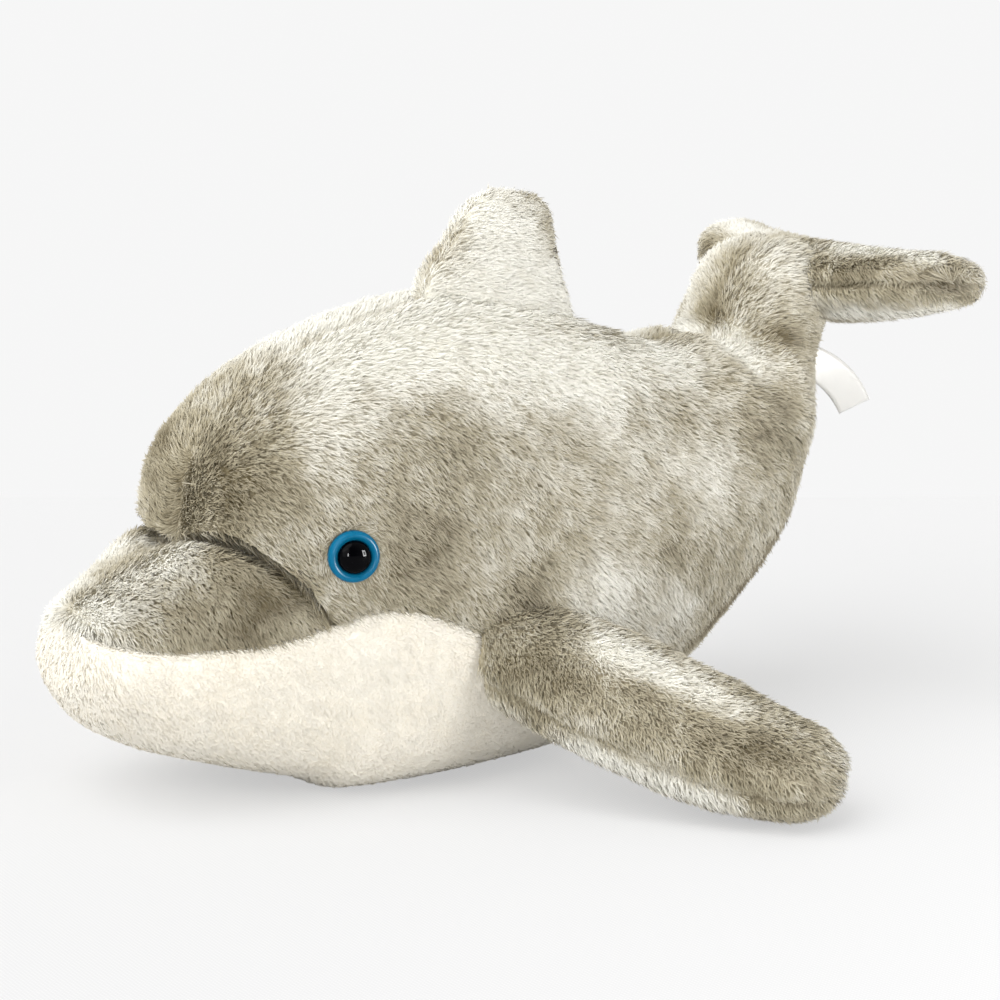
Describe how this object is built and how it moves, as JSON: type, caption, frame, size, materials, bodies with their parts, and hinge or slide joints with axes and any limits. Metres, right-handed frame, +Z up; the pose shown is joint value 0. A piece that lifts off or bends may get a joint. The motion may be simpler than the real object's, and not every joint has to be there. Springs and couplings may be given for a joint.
{
  "type": "plush dolphin",
  "caption": "Stuffed dolphin toy lying on its belly, grey pile above and cream below, with flippers, back fin, raised flukes and domed eyes.",
  "frame": {"origin": "on the plane the toy rests on, in its plane of symmetry, inside the flat patch under the belly", "axes": "+Z up; the dolphin faces -Y, and its left side is +X"},
  "size_m": [0.2924, 0.3132, 0.1833],
  "materials": {
    "grey_pile": "long warm grey plush pile, mottled",
    "cream_pile": "short smooth cream pile",
    "polyester_filling": "loose white fibre",
    "blue_plastic": "glossy blue",
    "black_plastic": "glossy black",
    "white_plastic": "matt white",
    "white_satin": "white satin ribbon, blank"
  },
  "bodies": {
    "root": {"side_panel_left": "grey_pile", "side_panel_right": "grey_pile", "snout_panel": "grey_pile", "dorsal_fin_left_panel": "grey_pile", "dorsal_fin_right_panel": "grey_pile", "left_flipper_upper_panel": "grey_pile", "left_flipper_lower_panel": "grey_pile", "right_flipper_upper_panel": "grey_pile", "right_flipper_lower_panel": "grey_pile", "fluke_upper_panel": "grey_pile", "fluke_lower_panel": "grey_pile", "belly_panel": "cream_pile", "body_filling": "polyester_filling", "dorsal_fin_filling": "polyester_filling", "left_flipper_filling": "polyester_filling", "right_flipper_filling": "polyester_filling", "fluke_filling": "polyester_filling", "left_eye_iris": "blue_plastic", "right_eye_iris": "blue_plastic", "left_eye_pupil": "black_plastic", "right_eye_pupil": "black_plastic", "left_eye_washer": "white_plastic", "right_eye_washer": "white_plastic", "sewn_label": "white_satin"}
  },
  "joints": []
}
